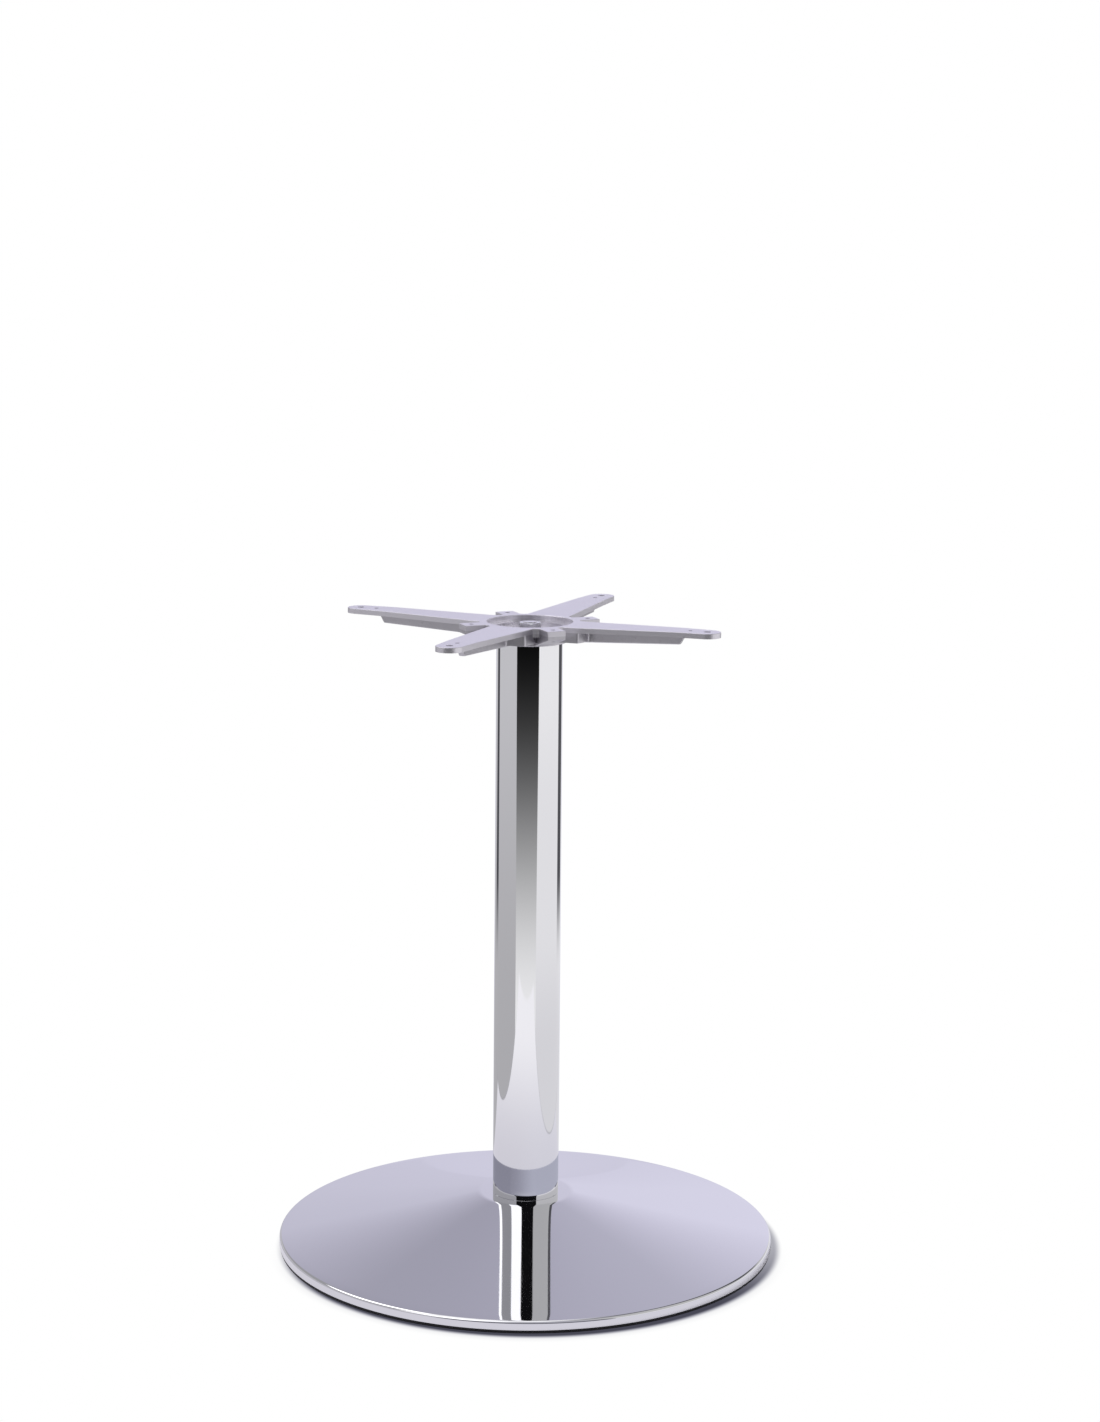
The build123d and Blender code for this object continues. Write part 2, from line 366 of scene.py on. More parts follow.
def worked_faces(tree, parts, reach, level):
    """Masks of the casting's turned recess, of the arm plate's top and edges, which get painted
    light, and of the top faces, which get more painted light.
    """
    own, top, soft = finish(), high("spider").z, 0.0002
    recess = top - own.turned_depth
    turned = times(tree,
                   between(tree, reach, own.turned_radius + soft, own.turned_radius - soft),
                   between(tree, parts["Z"], recess - soft, recess))
    # Painted light: all faces above the arm plate's underside are painted brighter than the web
    # below
    edge_foot = between(tree, reach, sizes().rise_start, sizes().rise_end,
                        top - sizes().arm_rise - sizes().arm_plate, top - sizes().arm_plate)
    painted_plate_light = between(tree, minus(tree, parts["Z"], edge_foot), -2.0 * soft, soft)
    # Painted light: upward faces within this depth of the top are painted brighter, as lit from
    # above
    top_light_depth = 0.0034
    painted_top_light = times(tree, between(tree, level, 0.90, 0.98),
                   between(tree, parts["Z"], top - top_light_depth - 3.0 * soft, top - top_light_depth))
    return turned, painted_plate_light, painted_top_light


def make_aluminium(name):
    """Blasted cast aluminium with a fine grain and a turned recess, with painted light on the arm
    plate and its top faces and painted shade below the plate.
    """
    material, tree, place = new_finish(name, 1.0)
    own = finish()
    parts = split(tree, place)
    reach = from_axis(tree, parts)
    level = split(tree, put(tree, "ShaderNodeNewGeometry").outputs["True Normal"])["Z"]
    turned, painted_plate_light, painted_top_light = worked_faces(tree, parts, reach, level)

    cloud = noise(tree, place, scale=22.0, detail=4.0, roughness=0.6)
    grain = noise(tree, place, scale=1400.0, detail=3.0, roughness=0.6)
    pores = noise(tree, place, scale=420.0, detail=2.0, roughness=0.5)
    dull, fresh, in_pores, most_pore = 0.94, 1.03, 0.7, 0.35
    colour = blended(tree, spread(tree, cloud), rgba(own.aluminium, dull),
                     rgba(own.aluminium, fresh))
    colour = blended(tree, between(tree, pores, 0.62, 0.72, 0.0, most_pore), colour,
                     rgba(own.aluminium, in_pores))
    # Painted shade: every face is darkened first, and stays so below the arm plate
    colour = blended(tree, 1.0 - own.shaded_web_gain, colour, BLACK)
    # Painted light makes the plate and its top faces brighter; the turned recess has its own
    # finish
    for faces, brightness in ((painted_plate_light, own.plate_light_gain), (painted_top_light, own.top_light_gain),
                              (turned, own.turned_gain)):
        colour = blended(tree, faces, colour, rgba(own.aluminium, brightness))

    rough = spread(tree, grain, own.aluminium_roughness - 0.05, own.aluminium_roughness + 0.06)
    bright = spread(tree, cloud, own.turned_roughness - 0.04, own.turned_roughness + 0.04)
    blur = linked(tree, "ShaderNodeMix", {0: turned, 2: rough, 3: bright}, data_type="FLOAT")

    # The tool leaves rings on the recess's floor, and rings one above the other on its wall
    on_floor = between(tree, level, 0.3, 0.7)
    feed = plus(tree, times(tree, reach, on_floor),
                times(tree, parts["Z"], outside(tree, on_floor)))
    rings = calc(tree, "SINE", times(tree, feed, math.tau / own.tool_step))
    cut = bumped(tree, times(tree, rings, turned), own.tool_depth)
    as_cast = outside(tree, turned)
    pore_depth, grain_depth = 0.00006, 0.00003
    coarse = bumped(tree, times(tree, pores, as_cast), pore_depth, cut)
    fine = bumped(tree, times(tree, grain, as_cast), grain_depth, coarse)
    surface(tree, colour, blur.outputs[0], fine)
    return material


def make_iron(name):
    """Grey iron with dark primer over its sand-cast skin."""
    material, tree, place = new_finish(name, 0.0)
    own, sand_depth = finish(), 0.0004
    skin = noise(tree, place, scale=260.0, detail=5.0, roughness=0.6)
    cloud = noise(tree, place, scale=30.0)
    tone = blended(tree, spread(tree, cloud), rgba(own.iron, 0.8), rgba(own.iron, 1.3))
    surface(tree, tone, spread(tree, skin, 0.5, 0.75), bumped(tree, skin, sand_depth))
    return material


def make_plastic(name):
    """Black moulded plastic with a fine spark-eroded grain."""
    material, tree, place = new_finish(name, 0.0)
    own, grain_depth = finish(), 0.00004
    grain = noise(tree, place, scale=1100.0, detail=2.0)
    cloud = noise(tree, place, scale=40.0)
    tone = blended(tree, spread(tree, cloud), rgba(own.plastic, 0.85), rgba(own.plastic, 1.25))
    blur = spread(tree, grain, own.plastic_roughness - 0.06, own.plastic_roughness + 0.08)
    surface(tree, tone, blur, bumped(tree, grain, grain_depth))
    return material


def make_zinc(name):
    """Zinc plate on steel: a soft shine with small crystals."""
    material, tree, place = new_finish(name, 1.0)
    own, grain_depth = finish(), 0.00002
    spangle = linked(tree, "ShaderNodeTexVoronoi",
                     {"Vector": place, "Scale": 700.0}).outputs["Distance"]
    tone = blended(tree, between(tree, spangle, 0.0, 0.8), rgba(own.zinc, 0.88),
                   rgba(own.zinc, 1.06))
    blur = between(tree, spangle, 0.0, 0.8, own.zinc_roughness - 0.05,
                   own.zinc_roughness + 0.06)
    grain = noise(tree, place, scale=900.0, detail=2.0)
    surface(tree, tone, blur, bumped(tree, grain, grain_depth))
    return material


def chrome():
    return kept(bpy.data.materials, "polished_chrome", make_chrome)


def aluminium():
    return kept(bpy.data.materials, "cast_aluminium_blasted", make_aluminium)


def iron():
    return kept(bpy.data.materials, "ballast_iron_primed", make_iron)


def plastic():
    return kept(bpy.data.materials, "black_plastic_grained", make_plastic)


def zinc():
    return kept(bpy.data.materials, "zinc_plated_steel", make_zinc)


def dress(node, material):
    """Gives a carried CAD node its finish."""
    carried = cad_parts[node]
    if not carried.material_slots:
        raise RuntimeError(f"{node} has no material slot")
    for place in carried.material_slots:
        place.material = material


# Geometry Nodes

SAME_PLACE = 0.000002       # corners that lie closer than this are one corner


def new_tree(name, **inputs):
    """A geometry tree with named inputs; gives the tree, its inputs and its output node."""
    tree = bpy.data.node_groups.new(name, "GeometryNodeTree")
    tree.interface.new_socket("Geometry", in_out="INPUT", socket_type="NodeSocketGeometry")
    for key, kind in inputs.items():
        tree.interface.new_socket(key.replace("_", " "), in_out="INPUT", socket_type=kind)
    tree.interface.new_socket("Geometry", in_out="OUTPUT", socket_type="NodeSocketGeometry")
    given = put(tree, "NodeGroupInput").outputs
    return tree, given, put(tree, "NodeGroupOutput")


def end_tree(tree, last, geometry, material):
    """Realizes the instances, sets the material and closes the tree."""
    real = linked(tree, "GeometryNodeRealizeInstances", {"Geometry": geometry})
    painted = linked(tree, "GeometryNodeSetMaterial", {"Geometry": real.outputs[0],
                                                       "Material": material})
    plug(tree, last.inputs[0], painted.outputs[0])


def soften(tree, geometry, angle):
    """Smooth faces with sharp edges only where two faces meet at more than an angle."""
    bend = put(tree, "GeometryNodeInputMeshEdgeAngle")
    sharp = linked(tree, "FunctionNodeCompare", {0: bend.outputs["Unsigned Angle"], 1: angle},
                   data_type="FLOAT", operation="LESS_THAN")
    faces = linked(tree, "GeometryNodeSetShadeSmooth", {"Geometry": geometry}, domain="FACE")
    edges = linked(tree, "GeometryNodeSetShadeSmooth",
                   {"Geometry": faces.outputs[0], "Shade Smooth": sharp.outputs[0]},
                   domain="EDGE")
    return edges.outputs[0]


def turning_tree(name):
    """Turns a section, drawn as radius along X and height along Y, round the upright axis."""
    tree, given, last = new_tree(name, Steps_Round="NodeSocketInt",
                                 Sharp_Angle="NodeSocketFloat", Material="NodeSocketMaterial")
    section = linked(tree, "GeometryNodeMeshToCurve", {"Mesh": given["Geometry"]})
    inward = linked(tree, "GeometryNodeTransform",
                    {"Geometry": section.outputs[0], "Translation": (-1.0, 0.0, 0.0),
                     "Scale": (1.0, -1.0, 1.0)})
    round_path = linked(tree, "GeometryNodeCurvePrimitiveCircle",
                        {"Resolution": given["Steps Round"], "Radius": 1.0})
    turned = linked(tree, "GeometryNodeCurveToMesh",
                    {"Curve": round_path.outputs[0], "Profile Curve": inward.outputs[0]})
    closed = linked(tree, "GeometryNodeMergeByDistance", {"Geometry": turned.outputs[0],
                                                          "Distance": SAME_PLACE})
    smooth = soften(tree, closed.outputs[0], given["Sharp Angle"])
    end_tree(tree, last, smooth, given["Material"])
    return tree


def thread_tree(name):
    """Adds a screw thread at both ends of a rod and trims all of it to the rod's chamfers."""
    lengths = ("Bottom", "Top", "Radius", "Pitch", "Depth", "Length", "Chamfer")
    tree, given, last = new_tree(name, **dict.fromkeys(lengths, "NodeSocketFloat"),
                                 Steps="NodeSocketInt", Material="NodeSocketMaterial")
    middle = minus(tree, given["Radius"], calc(tree, "DIVIDE", given["Depth"], 2.0))
    turns = calc(tree, "DIVIDE", given["Length"], given["Pitch"])
    helix = linked(tree, "GeometryNodeCurveSpiral",
                   {"Resolution": given["Steps"], "Rotations": turns, "Start Radius": middle,
                    "End Radius": middle, "Height": given["Length"]})
    upright = linked(tree, "GeometryNodeSetCurveNormal", {"Curve": helix.outputs[0]},
                     mode="Z_UP")
    foot_width, crest_width = 0.95, 0.14
    ridge = linked(tree, "GeometryNodeCurvePrimitiveQuadrilateral",
                   {"Height": given["Depth"], "Offset": 0.0,
                    "Bottom Width": times(tree, given["Pitch"], foot_width),
                    "Top Width": times(tree, given["Pitch"], crest_width)}, mode="TRAPEZOID")
    outward = linked(tree, "GeometryNodeTransform", {"Geometry": ridge.outputs[0],
                                                     "Rotation": (0.0, 0.0, -math.pi / 2)})
    wound = linked(tree, "GeometryNodeCurveToMesh",
                   {"Curve": upright.outputs[0], "Profile Curve": outward.outputs[0],
                    "Fill Caps": True})
    ends = put(tree, "GeometryNodeJoinGeometry")
    plug(tree, ends.inputs[0], given["Geometry"])
    upper_start = minus(tree, given["Top"], given["Length"])
    for start in (given["Bottom"], upper_start):
        lift = linked(tree, "ShaderNodeCombineXYZ", {"Z": start})
        placed = linked(tree, "GeometryNodeTransform", {"Geometry": wound.outputs[0],
                                                        "Translation": lift.outputs[0]})
        tree.links.new(placed.outputs[0], ends.inputs[0])

    # What stands outside the rod's chamfers is drawn in to them
    parts = split(tree, put(tree, "GeometryNodeInputPosition").outputs[0])
    end_radius = minus(tree, given["Radius"], given["Chamfer"])
    from_top = larger(tree, minus(tree, given["Top"], parts["Z"]), 0.0)
    from_bottom = larger(tree, minus(tree, parts["Z"], given["Bottom"]), 0.0)
    limit = plus(tree, end_radius, smaller(tree, from_top, from_bottom))
    reach = larger(tree, from_axis(tree, parts), 0.0001)
    keep = smaller(tree, 1.0, calc(tree, "DIVIDE", limit, reach))
    trimmed = linked(tree, "ShaderNodeCombineXYZ",
                     {"X": times(tree, parts["X"], keep), "Y": times(tree, parts["Y"], keep),
                      "Z": larger(tree, given["Bottom"],
                                  smaller(tree, given["Top"], parts["Z"]))})
    cut = linked(tree, "GeometryNodeSetPosition", {"Geometry": ends.outputs[0],
                                                   "Position": trimmed.outputs[0]})
    smooth = soften(tree, cut.outputs[0], math.radians(40))
    end_tree(tree, last, smooth, given["Material"])
    return tree


def plain_piece(name, source, stages):
    """Runs geometry trees on a mesh one after the other and gives the result as a plain mesh."""
    maker = new_object(name + "_maker", source)
    for tree, values in stages:
        modifier = maker.modifiers.new(tree.name, "NODES")
        modifier.node_group = tree
        sockets = {item.name: item.identifier for item in tree.interface.items_tree
                   if item.item_type == "SOCKET" and item.in_out == "INPUT"}
        for key, value in values.items():
            modifier[sockets[key]] = value
    view = bpy.context.evaluated_depsgraph_get()
    view.update()
    made = bpy.data.meshes.new_from_object(maker.evaluated_get(view))
    maker.modifiers.clear()
    bpy.data.objects.remove(maker)
    bpy.data.meshes.remove(source)
    if not made.polygons:
        raise RuntimeError(f"{name} came out empty")
    made.name = name
    return new_object(name, made)


def section_mesh(name, points, closed):
    """A section as a mesh of edges, with radius along X and height along Y."""
    edges = [(i, i + 1) for i in range(len(points) - 1)]
    if closed:
        edges.append((len(points) - 1, 0))
    mesh = bpy.data.meshes.new(name)
    mesh.from_pydata([(radius, height, 0.0) for radius, height in points], edges, [])
    return mesh


def turned_piece(name, points, material, closed=True, faces=None, more=()):
    """Turns a section into a piece."""
    tree = kept(bpy.data.node_groups, "turned piece", turning_tree)
    turning = (tree, {"Steps Round": faces or sizes().steps_round,
                      "Sharp Angle": math.radians(30), "Material": material})
    return plain_piece(name, section_mesh(name + "_section", points, closed),
                       [turning, *more])


def closing_tree(name):
    """Merges a mesh of loose triangles and smooths what is not a sharp edge."""
    tree, given, last = new_tree(name, Gap="NodeSocketFloat", Sharp_Angle="NodeSocketFloat",
                                 Material="NodeSocketMaterial")
    closed = linked(tree, "GeometryNodeMergeByDistance", {"Geometry": given["Geometry"],
                                                          "Distance": given["Gap"]})
    smooth = soften(tree, closed.outputs[0], given["Sharp Angle"])
    end_tree(tree, last, smooth, given["Material"])
    return tree


def smoothed_copy(name, node, material, sharp):
    """A closed copy of a CAD node's mesh, smooth over its curves and flat on its flats."""
    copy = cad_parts[node].data.copy()
    copy.materials.clear()
    tree = kept(bpy.data.node_groups, "closed and smoothed", closing_tree)
    piece = plain_piece(name, copy, [(tree, {"Gap": SAME_PLACE, "Sharp Angle": sharp,
                                             "Material": material})])
    even = piece.modifiers.new("even shading", "WEIGHTED_NORMAL")
    even.mode = "FACE_AREA_WITH_ANGLE"
    even.keep_sharp = True
    return piece


# Sections

def eased_corner(corner, coming, going, radius, count):
    """Points and outward normals of a bend that touches two directions at a corner."""
    corner, coming, going = Vector(corner), Vector(coming).normalized(), Vector(going).normalized()
    turn = coming.angle_signed(going)
    reach = radius * math.tan(abs(turn) / 2)
    side = 1.0 if turn > 0 else -1.0
    inward = Vector((coming.y, -coming.x)) * side
    start = corner - coming * reach
    centre = start + inward * radius
    points = []
    for i in range(count + 1):
        part = Matrix.Rotation(-turn * i / count, 2)
        spoke = part @ (start - centre)
        points.append((centre + spoke, spoke.normalized() * side))
    return points


def circle_through(first, middle, last):
    """Centre of the circle through three points."""
    (ax, ay), (bx, by), (cx, cy) = first, middle, last
    d = 2 * (ax * (by - cy) + bx * (cy - ay) + cx * (ay - by))
    x = ((ax * ax + ay * ay) * (by - cy) + (bx * bx + by * by) * (cy - ay)
         + (cx * cx + cy * cy) * (ay - by)) / d
    y = ((ax * ax + ay * ay) * (cx - bx) + (bx * bx + by * by) * (ax - cx)
         + (cx * cx + cy * cy) * (bx - ax)) / d
    return Vector((x, y))


def cover_section():
    """The cover's sheet from its hole over seat, flank and lip, and back inside."""
    own = sizes()
    rim, bottom, top = high("dome_cover").x, low("dome_cover").z, high("dome_cover").z
    seat, shoulder = Vector((own.seat_radius, top)), Vector((rim, own.shoulder_height))
    middle = (seat + shoulder) / 2 - Vector((0, own.flank_sag))
    centre = circle_through(seat, middle, shoulder)

    def tangent(point):
        out = (point - centre).normalized()
        return Vector((-out.y, out.x)) if out.y < 0 else Vector((out.y, -out.x))

    seat_steps, lip_steps, flank_steps = 10, 14, 20
    seat_bend = eased_corner(seat, (1, 0), tangent(seat), own.seat_bend, seat_steps)
    lip_bend = eased_corner(shoulder, tangent(shoulder), (0, -1), own.lip_bend, lip_steps)
    start, end = seat_bend[-1][0], lip_bend[0][0]
    flank = []
    for i in range(1, flank_steps):
        chord = start.lerp(end, i / flank_steps)
        out = (chord - centre).normalized()
        flank.append((centre + out * (seat - centre).length, -out))
    path = [(Vector((own.cover_hole, top)), Vector((0, 1)))] + seat_bend + flank + lip_bend
    path.append((Vector((rim, bottom)), Vector((1, 0))))
    outer = [point for point, normal in path]
    inner = [point - normal * own.sheet for point, normal in path]
    return outer + inner[::-1]


def tube_section():
    """The tube's wall with eased ends."""
    own = sizes()
    outer, bottom, top = high("column_tube").x, low("column_tube").z, high("column_tube").z
    inner, edge = outer - own.tube_wall, own.tube_edge
    return [(inner + edge, top), (outer - edge, top), (outer, top - edge),
            (outer, bottom + edge), (outer - edge, bottom), (inner + edge, bottom),
            (inner, bottom + edge), (inner, top - edge)]


def rod_section():
    """The rod's core, which the thread's ridges bite into, with the plain shank in its middle."""
    own = sizes()
    radius, bottom, top = high("tie_rod").x, low("tie_rod").z, high("tie_rod").z
    step, bite = own.thread_depth, own.thread_depth * 0.15
    core = radius - step + bite
    lower, upper = bottom + own.thread_length, top - own.thread_length
    return [(0.0, top), (core, top), (core, upper), (radius, upper - step),
            (radius, lower + step), (core, lower), (core, bottom), (0.0, bottom)]


# Operators, one for each piece or group of like pieces

class DOMEBASE_OT_column(bpy.types.Operator):
    """Turns the chromed column tube"""
    bl_idname = "dome_base.column"
    bl_label = "Column Tube"

    def execute(self, context):
        piece = turned_piece("column", tube_section(), chrome())
        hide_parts("column_tube")
        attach(piece, BODY)
        return {"FINISHED"}


class DOMEBASE_OT_cover(bpy.types.Operator):
    """Turns the chromed dome cover"""
    bl_idname = "dome_base.cover"
    bl_label = "Dome Cover"

    def execute(self, context):
        piece = turned_piece("dome", cover_section(), chrome(), faces=sizes().steps_round * 2)
        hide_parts("dome_cover")
        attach(piece, BODY)
        return {"FINISHED"}


class DOMEBASE_OT_rod(bpy.types.Operator):
    """Turns the tie rod and cuts its threads"""
    bl_idname = "dome_base.rod"
    bl_label = "Tie Rod"

    def execute(self, context):
        own = sizes()
        tree = kept(bpy.data.node_groups, "threaded ends", thread_tree)
        thread = (tree, {
            "Bottom": low("tie_rod").z, "Top": high("tie_rod").z,
            "Radius": high("tie_rod").x, "Pitch": own.thread_pitch,
            "Depth": own.thread_depth, "Length": own.thread_length,
            "Chamfer": own.rod_chamfer, "Steps": own.thread_steps, "Material": zinc()})
        piece = turned_piece("threaded_rod", rod_section(), zinc(), closed=False,
                             faces=own.rod_steps, more=[thread])
        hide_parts("tie_rod")
        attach(piece, BODY)
        return {"FINISHED"}


class DOMEBASE_OT_spider(bpy.types.Operator):
    """Closes and smooths the cast spider and finishes it"""
    bl_idname = "dome_base.spider"
    bl_label = "Cast Spider"

    def execute(self, context):
        piece = smoothed_copy("cast_spider", "spider", aluminium(), math.radians(28))
        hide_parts("spider")
        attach(piece, BODY)
        return {"FINISHED"}


class DOMEBASE_OT_base(bpy.types.Operator):
    """Finishes the ballast and the rim ring under the cover"""
    bl_idname = "dome_base.base"
    bl_label = "Ballast and Ring"

    def execute(self, context):
        dress("base_weight", iron())
        dress("rim_ring", plastic())
        return {"FINISHED"}


class DOMEBASE_OT_fasteners(bpy.types.Operator):
    """Finishes the nuts and washers"""
    bl_idname = "dome_base.fasteners"
    bl_label = "Nuts and Washers"

    def execute(self, context):
        for node in ("top_nut", "top_washer", "bottom_washer", "bottom_spring_washer",
                     "bottom_nut"):
            dress(node, zinc())
        return {"FINISHED"}


# The studio

def camera_frame():
    """Unit directions of the studio: from the object to the camera, and the camera's right."""
    turn = studio().camera_turn
    toward = Vector((math.cos(turn), math.sin(turn), 0.0))
    right = Vector((-toward.y, toward.x, 0.0))
    return toward, right


def make_camera():
    """The camera at the photograph's place, looking a little down, with its lens shifted."""
    own = studio()
    toward, right = camera_frame()
    ahead = -toward * math.cos(own.camera_pitch) - Vector((0, 0, math.sin(own.camera_pitch)))
    up = right.cross(ahead)
    lean_right = right * math.cos(own.camera_roll) + up * math.sin(own.camera_roll)
    lean_up = up * math.cos(own.camera_roll) - right * math.sin(own.camera_roll)
    place = toward * own.camera_distance + Vector((0, 0, own.camera_height))
    data = bpy.data.cameras.new("camera")
    wide, tall = 1100.0, 1422.0
    data.sensor_width = 36.0
    data.lens = own.focal_pixels / tall * data.sensor_width
    data.shift_x = (wide / 2 - own.centre_across) / tall
    data.shift_y = (own.centre_down - tall / 2) / tall
    camera = new_object("camera", data)
    turn = Matrix((lean_right, lean_up, -ahead)).transposed().to_4x4()
    camera.matrix_world = Matrix.Translation(place) @ turn
    bpy.context.scene.camera = camera


# Linear tones of the room, for the world and for the floor's painted reflection

HAZE = (0.68, 0.665, 0.80)
BACKDROP = ((0.0, HAZE), (0.12, (0.71, 0.695, 0.83)), (0.30, (0.71, 0.695, 0.83)),
            (0.45, (0.59, 0.575, 0.695)), (0.58, (0.48, 0.47, 0.57)),
            (0.68, (0.465, 0.455, 0.555)), (0.82, (0.44, 0.43, 0.52)), (0.93, (1.1, 1.1, 1.12)))
UPPER_WALLS = ((0.58, 0.58, 0.58), (0.38, 0.38, 0.40))      # right, left
LOWER_WALLS = ((0.95, 0.94, 0.97), (0.62, 0.61, 0.64))      # right, left
CEILING = ((1.1, 1.1, 1.12), (0.22, 0.22, 0.25))            # left, right
STRIP_LAMP = (1.55, 1.55, 1.57)
SOFT_LAMP = (1.0, 0.99, 1.02)
DARK_CORNER = (0.10, 0.10, 0.11)
DARK_OPENING = (0.006, 0.006, 0.007)
BARE_LEFT = ((0.50, 0.495, 0.51), (0.64, 0.635, 0.655))     # near, far
BARE_RIGHT = ((0.80, 0.795, 0.82), (0.91, 0.905, 0.92), (0.99, 0.985, 0.99))
FLOOR_SEAM = (0.05, 0.05, 0.06)
SHEET_NEAR = ((0.76, 0.745, 0.81), (0.78, 0.77, 0.84))      # left, right
SHEET_FAR = (1.05, 1.04, 1.07)
SHEET_EDGE = (0.30, 0.30, 0.34)
GRAZED = ((0.31, 0.31, 0.385), (0.52, 0.53, 0.64))          # left, right

# Where things stand round the object: 1 in front of it, 0 at its sides, -1 behind it
FRONT, REAR = (0.46, 0.99), (-0.94, -0.56)
SEAM, RIGHT_SEAM = (-0.76, -0.54), (-0.88, -0.76)


def opening(tree, half_width, off_centre):
    """The dark opening of the studio in front of the object, 1 inside it and 0 outside."""
    margin = minus(tree, half_width, calc(tree, "ABSOLUTE", off_centre))
    return between(tree, margin, -0.010, 0.010)


def backdrop(tree, height, side):
    """Behind the object: darker with height, white overhead and a little dimmer on the left."""
    ramp = linked(tree, "ShaderNodeValToRGB", {0: larger(tree, height, 0.0)})
    stops = ramp.color_ramp.elements
    while len(stops) < len(BACKDROP):
        stops.new(0.5)
    for stop, (place, tone) in zip(stops, BACKDROP):
        stop.position = place
        stop.color = rgba(tone)
    strength = between(tree, side, -0.30, 0.30, 0.86, 1.14)
    return linked(tree, "ShaderNodeVectorMath", {0: ramp.outputs[0], "Scale": strength},
                  operation="SCALE").outputs[0]


def walls(tree, look, across, height, facing, side, again):
    """Walls, ceiling and lamps; the rear strip lamp shows only in chrome seen in chrome."""
    on_left = between(tree, side, 0.1, -0.1)
    tone = blended(tree, between(tree, height, 0.10, 0.45), blended(tree, on_left, *LOWER_WALLS),
                   blended(tree, on_left, *UPPER_WALLS))
    raised = between(tree, height, 0.42, 0.47)
    rear = inside(tree, facing, *REAR)
    strips = plus(tree, inside(tree, facing, *FRONT), times(tree, rear, again))
    strips = times(tree, times(tree, strips, on_left), raised)
    tone = blended(tree, strips, tone, STRIP_LAMP)
    corner = times(tree, times(tree, rear, outside(tree, on_left)), raised)
    tone = blended(tree, corner, tone, DARK_CORNER)
    overhead = blended(tree, between(tree, across, 0.05, 0.32), *CEILING)
    tone = blended(tree, between(tree, height, 0.86, 0.94), tone, overhead)
    lamp_edge, lamp_core = math.cos(math.radians(19)), math.cos(math.radians(16))
    lamp = between(tree, along(tree, look, softbox_way()), lamp_edge, lamp_core)
    lamp = times(tree, lamp, outside(tree, again))
    return blended(tree, lamp, tone, rgba(SOFT_LAMP, studio().softbox))


def make_world():
    """White to the camera; to the object, a pale tent with a dark opening in front."""
    world = bpy.data.worlds.new("studio")
    bpy.context.scene.world = world
    world.use_nodes = True
    tree = world.node_tree
    toward, right = camera_frame()
    look = put(tree, "ShaderNodeTexCoord").outputs["Generated"]
    height = split(tree, look)["Z"]
    level = outside(tree, calc(tree, "POWER", height, 2.0))
    level = calc(tree, "SQRT", larger(tree, level, 0.0001))
    ahead, across = along(tree, look, toward), along(tree, look, right)
    facing, side = calc(tree, "DIVIDE", ahead, level), calc(tree, "DIVIDE", across, level)
    rays = put(tree, "ShaderNodeLightPath")
    again = between(tree, rays.outputs["Ray Depth"], 2.2, 2.8)      # chrome that is seen in chrome
    tent = blended(tree, between(tree, facing, -0.94, -0.96),
                   walls(tree, look, across, height, facing, side, again),
                   backdrop(tree, height, side))

    # The opening narrows and pales with height and leans to the right
    widens, narrows, leans, bluer = 0.869, 0.367, 0.20, 1.12
    low_dim, high_dim = 0.03, 0.46
    half_width = minus(tree, times(tree, ahead, widens), times(tree, height, narrows))
    gap = opening(tree, half_width, minus(tree, across, times(tree, height, leans)))
    dim = between(tree, height, 0.05, 0.60, low_dim, high_dim)
    dark = blended(tree, again, toned(tree, dim, dim, times(tree, dim, bluer)), DARK_OPENING)
    seen = blended(tree, gap, tent, dark)
    final = blended(tree, rays.outputs["Is Camera Ray"], seen, WHITE)
    plug(tree, tree.nodes["Background"].inputs["Color"], final)


def behind(tree, facing):
    """1 on the floor behind the object, which has the backdrop's tone."""
    return between(tree, facing, -0.93, -0.97)


def bare_floor_tone(tree, reach, facing, side):
    """Beyond the sheet, painted reflection: the walls' reflections with their seams, and a front
    that grows dark.
    """
    near_width, far_width, leans = 0.705, 0.814, 0.14
    half_width = times(tree, facing, between(tree, reach, 0.7, 4.4, near_width, far_width))
    front = opening(tree, half_width, plus(tree, side, times(tree, facing, leans)))
    pale_reach, fall_power, fall_rate = 1.0, 1.5, -0.82
    beyond = larger(tree, minus(tree, reach, pale_reach), 0.0)
    fall = calc(tree, "EXPONENT",
                times(tree, calc(tree, "POWER", beyond, fall_power), fall_rate))
    left = blended(tree, between(tree, reach, 0.6, 4.2), *BARE_LEFT)
    near, middle, far = BARE_RIGHT
    right = blended(tree, between(tree, reach, 0.8, 1.5), near, middle)
    right = blended(tree, between(tree, reach, 2.2, 4.0), right, far)
    on_right = between(tree, side, -0.1, 0.1)
    sides = blended(tree, on_right, left, right)
    seams = calc(tree, "ADD", inside(tree, facing, *SEAM),
                 times(tree, inside(tree, facing, *RIGHT_SEAM), on_right), clamp=True)
    seams = times(tree, seams, between(tree, reach, 1.2, 1.9, 0.0, 0.95))
    sides = blended(tree, seams, sides, FLOOR_SEAM)
    sides = blended(tree, behind(tree, facing), sides, HAZE)
    return blended(tree, front, sides, toned(tree, fall, fall, fall))


